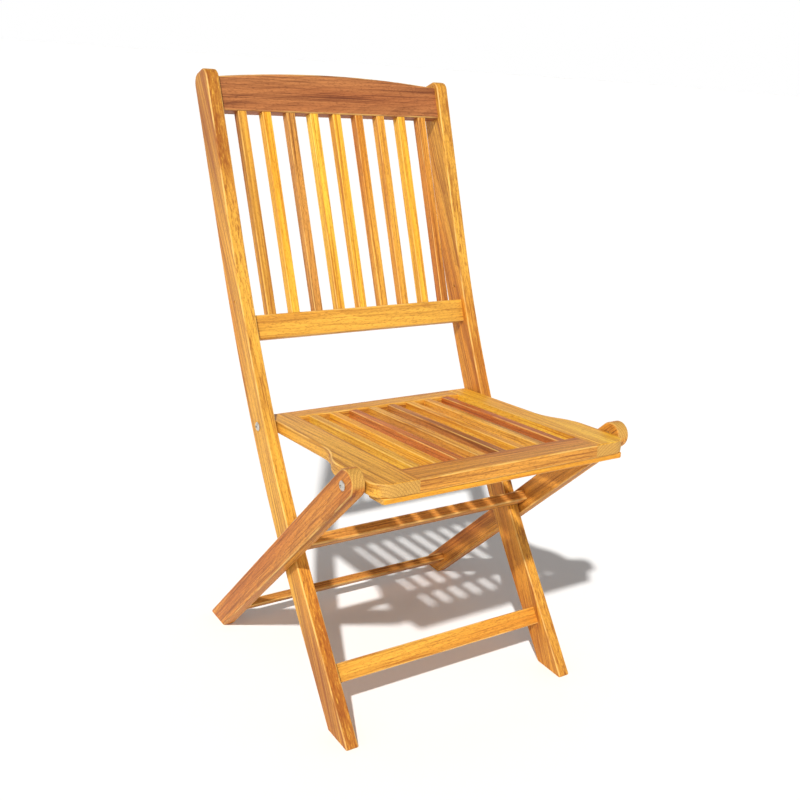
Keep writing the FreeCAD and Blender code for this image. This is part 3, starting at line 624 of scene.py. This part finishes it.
def dress(node: str, material: bpy.types.Material) -> None:
    """Give a CAD node one material all over.

    Args:
        node: The node's name.
        material: Its material.
    """
    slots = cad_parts[node].data.materials
    slots.clear()
    slots.append(material)
    log.info("%s: %s", node, material.name)


def dress_timber(node: str, timber: Timber, along: Vector, width: Vector) -> None:
    """Give a CAD node its timber, with the grain lying about the node's middle.

    Args:
        node: The node's name.
        timber: Its timber.
        along: The direction of its grain.
        width: The direction of its width.
    """
    low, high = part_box(node)
    dress(node, timber.material(node, Grain((low + high) / 2, along, width)))


def leaning(degrees: float) -> Vector:
    """Find the upward direction that leans back from the vertical.

    Args:
        degrees: The angle it leans by.

    Returns:
        The direction.
    """
    lean = math.radians(degrees)
    return Vector((0.0, math.sin(lean), math.cos(lean)))


@dataclass
class BackFrame:
    """Stiles, rails, slats and front stretcher. Leans are in degrees and lengths in metres."""

    stile_lean: float = 30.0
    panel_lean: float = 21.7
    stretcher_lean: float = 38.0
    stile_ring_gap: float = 0.006
    slat_ring_gap: float = 0.005
    stile_ends: tuple[Ends, ...] = (Ends(0.24, 0.44, 0.5), Ends(0.24, 0.44, 0.2))
    stile_seeds: tuple[int, int] = (3, 4)
    slat_seed: int = 20
    slat_knot: tuple[float, float] = (0.03, 0.002)
    slat_tones: tuple[Tone, ...] = (
        Tone.HONEY, Tone.STRAW, Tone.COPPER, Tone.STRAW, Tone.STRAW,
        Tone.HONEY, Tone.HONEY, Tone.STRAW, Tone.AMBER,
    )

    def dress(self) -> None:
        """Finish every piece of the back frame."""
        self.dress_stiles()
        self.dress_rails()
        self.dress_slats()

    def dress_stiles(self) -> None:
        """Finish both stiles, the left one darker toward its ends."""
        up = leaning(self.stile_lean)
        for seed, side, ends in zip(self.stile_seeds, SIDES, self.stile_ends):
            timber = Timber(Tone.HONEY, seed, ring_gap=self.stile_ring_gap, ends=ends)
            dress_timber(f"stile_{side}", timber, up, up.cross(ACROSS))

    def dress_rails(self) -> None:
        """Finish the rails and the stretcher, whose grain runs across the chair."""
        panel, stretcher = leaning(self.panel_lean), leaning(self.stretcher_lean)
        dress_timber("top_rail", Timber(Tone.ROSE, seed=11, knot=(0.13, 0.012)), ACROSS, panel)
        dress_timber("lower_back_rail", Timber(Tone.HONEY, seed=12, contrast=0.7), ACROSS, panel)
        dress_timber("front_stretcher", Timber(Tone.HONEY, seed=13, contrast=0.8), ACROSS, stretcher)

    def dress_slats(self) -> None:
        """Finish the back slats, of which the copper one has a knot."""
        up = leaning(self.panel_lean)
        for number, tone in enumerate(self.slat_tones, start=1):
            knot = self.slat_knot if tone is Tone.COPPER else None
            timber = Timber(tone, self.slat_seed + number, ring_gap=self.slat_ring_gap, knot=knot)
            dress_timber(f"back_slat_{number}", timber, up, ACROSS)


@dataclass
class Seat:
    """Side rails, cross rails, slats and cleat. The slope is in degrees and lengths in metres."""

    slope: float = 5.1
    slat_ring_gap: float = 0.0055
    rail_seeds: tuple[int, int] = (41, 42)
    slat_seed: int = 50
    rail_tones: tuple[Tone, ...] = (Tone.HONEY, Tone.STRAW)
    slat_tones: tuple[Tone, ...] = (
        Tone.STRAW, Tone.STRAW, Tone.RUSSET, Tone.HONEY,
        Tone.COPPER, Tone.STRAW, Tone.HONEY, Tone.RUSSET,
    )

    def dress(self) -> None:
        """Finish every wooden piece of the seat."""
        slope = math.radians(self.slope)
        forward = Vector((0.0, -math.cos(slope), math.sin(slope)))
        for seed, side, tone in zip(self.rail_seeds, SIDES, self.rail_tones):
            dress_timber(f"seat_rail_{side}", Timber(tone, seed), forward, ACROSS)
        dress_timber("seat_front_rail", Timber(Tone.AMBER, seed=43), ACROSS, forward)
        dress_timber("seat_rear_rail", Timber(Tone.HONEY, seed=44), ACROSS, forward)
        dress_timber("seat_cleat", Timber(Tone.STRAW, seed=45, contrast=0.6), ACROSS, forward)
        for number, tone in enumerate(self.slat_tones, start=1):
            timber = Timber(tone, self.slat_seed + number, ring_gap=self.slat_ring_gap)
            dress_timber(f"seat_slat_{number}", timber, forward, ACROSS)


@dataclass
class RearLegs:
    """Rear legs with their stop bar and spreader. The lean is in degrees."""

    leg_lean: float = -44.5
    leg_seed: int = 71
    bar_seed: int = 73

    def dress(self) -> None:
        """Finish every piece of the rear leg frame."""
        up = leaning(self.leg_lean)
        for seed, side in enumerate(SIDES, start=self.leg_seed):
            dress_timber(f"rear_leg_{side}", Timber(Tone.AMBER, seed), up, up.cross(ACROSS))
        for seed, name in enumerate(("stop_bar", "rear_spreader"), start=self.bar_seed):
            dress_timber(name, Timber(Tone.COPPER, seed), ACROSS, up)


@dataclass
class Fittings:
    """Pivot bolts, washers and inserts, and the cleat's screws."""

    screw_count: int = 5

    def dress(self) -> None:
        """Finish every metal piece."""
        zinc = Finish.ZINC.value.material("zinc")
        brass = Finish.BRASS.value.material("brass")
        for end in ("rear", "front"):
            for side in SIDES:
                dress(f"{end}_pivot_bolt_{side}", zinc)
                dress(f"{end}_pivot_washer_{side}", zinc)
                dress(f"{end}_pivot_insert_{side}", brass)
        for number in range(1, self.screw_count + 1):
            dress(f"cleat_screw_{number}", zinc)


# ---------------------------------------------------------------- studio

def toward(azimuth: float, elevation: float) -> Vector:
    """Find the direction of a place seen from the chair.

    Args:
        azimuth: Degrees round from the front, positive to the right.
        elevation: Degrees above the floor.

    Returns:
        The direction.
    """
    around, above = math.radians(azimuth), math.radians(elevation)
    return Vector((math.sin(around) * math.cos(above), -math.cos(around) * math.cos(above), math.sin(above)))


@dataclass
class Studio:
    """Floor, light and camera. Angles are in degrees and lengths in metres.

    The world's light is full below the first horizon value and falls to its overhead strength at the
    second one. rise is how far the picture is shifted up, as a share of its width.
    """

    floor_size: float = 240.0
    floor_colour: tuple[float, float, float, float] = (0.95, 0.95, 0.95, 1.0)
    floor_roughness: float = 0.9
    horizon: tuple[float, float] = (0.38, 0.60)
    world_strength: float = 1.0
    overhead_strength: float = 0.08
    sun_azimuth: float = -45.0
    sun_elevation: float = 47.0
    sun_strength: float = 3.5
    sun_spread: float = 2.0
    sun_colour: Colour = (1.0, 0.985, 0.96)
    azimuth: float = -34.17
    elevation: float = 25.0
    roll: float = 4.25
    eye: tuple[float, float, float] = (-0.8205, -1.2327, 0.9366)
    focal_length: float = 43.49
    rise: float = 0.1388
    nearest: float = 0.01

    def build(self) -> None:
        """Put up the whole studio."""
        self.lay_floor()
        self.light_world()
        self.hang_key_light()
        self.set_camera()

    def lay_floor(self) -> None:
        """Lay a plain pale floor, which isn't part of the chair."""
        bpy.ops.mesh.primitive_plane_add(size=self.floor_size)
        floor = bpy.context.object
        floor.name = "studio_floor"
        tree = NodeTree("studio_floor")
        shader = tree.node("BsdfPrincipled")
        shader.inputs["Base Color"].default_value = self.floor_colour
        shader.inputs["Roughness"].default_value = self.floor_roughness
        floor.data.materials.append(tree.finish(shader))

    def light_world(self) -> None:
        """Surround everything with white light, brightest low down and dim overhead."""
        world = bpy.data.worlds.new("studio_light")
        world.use_nodes = True
        tree = world.node_tree
        background = tree.nodes["Background"]
        split = tree.nodes.new("ShaderNodeSeparateXYZ")
        fade = tree.nodes.new("ShaderNodeMapRange")
        fade.interpolation_type = "SMOOTHSTEP"
        fade.inputs["From Min"].default_value, fade.inputs["From Max"].default_value = self.horizon
        fade.inputs["To Min"].default_value = self.world_strength
        fade.inputs["To Max"].default_value = self.overhead_strength
        tree.links.new(tree.nodes.new("ShaderNodeTexCoord").outputs["Generated"], split.inputs[0])
        tree.links.new(split.outputs[2], fade.inputs["Value"])
        tree.links.new(fade.outputs["Result"], background.inputs["Strength"])
        background.inputs["Color"].default_value = (1.0, 1.0, 1.0, 1.0)
        bpy.context.scene.world = world
        bpy.context.scene.view_settings.view_transform = "Standard"

    def hang_key_light(self) -> None:
        """Hang one key light high on the front left."""
        key = bpy.data.lights.new("key", "SUN")
        key.energy = self.sun_strength
        key.angle = math.radians(self.sun_spread)
        key.color = self.sun_colour
        holder = bpy.data.objects.new("key", key)
        direction = toward(self.sun_azimuth, self.sun_elevation)
        holder.rotation_euler = direction.to_track_quat("Z", "Y").to_euler()
        bpy.context.scene.collection.objects.link(holder)

    def set_camera(self) -> None:
        """Stand the camera in front of the chair, to the left and above."""
        lens = bpy.data.cameras.new("camera")
        lens.lens = self.focal_length
        lens.shift_y = self.rise
        lens.clip_start = self.nearest
        camera = bpy.data.objects.new("camera", lens)
        ahead = -toward(self.azimuth, self.elevation)
        level = ahead.to_track_quat("-Z", "Y").to_matrix()
        turned = level @ Matrix.Rotation(math.radians(self.roll), 3, "Z")
        camera.matrix_world = Matrix.Translation(self.eye) @ turned.to_4x4()
        bpy.context.scene.collection.objects.link(camera)
        bpy.context.scene.camera = camera


def main() -> None:
    """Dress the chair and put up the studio."""
    logging.basicConfig(level=logging.INFO)
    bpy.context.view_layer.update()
    for part in (BackFrame(), Seat(), RearLegs(), Fittings()):
        part.dress()
    Studio().build()


if __name__ == "__main__":
    main()
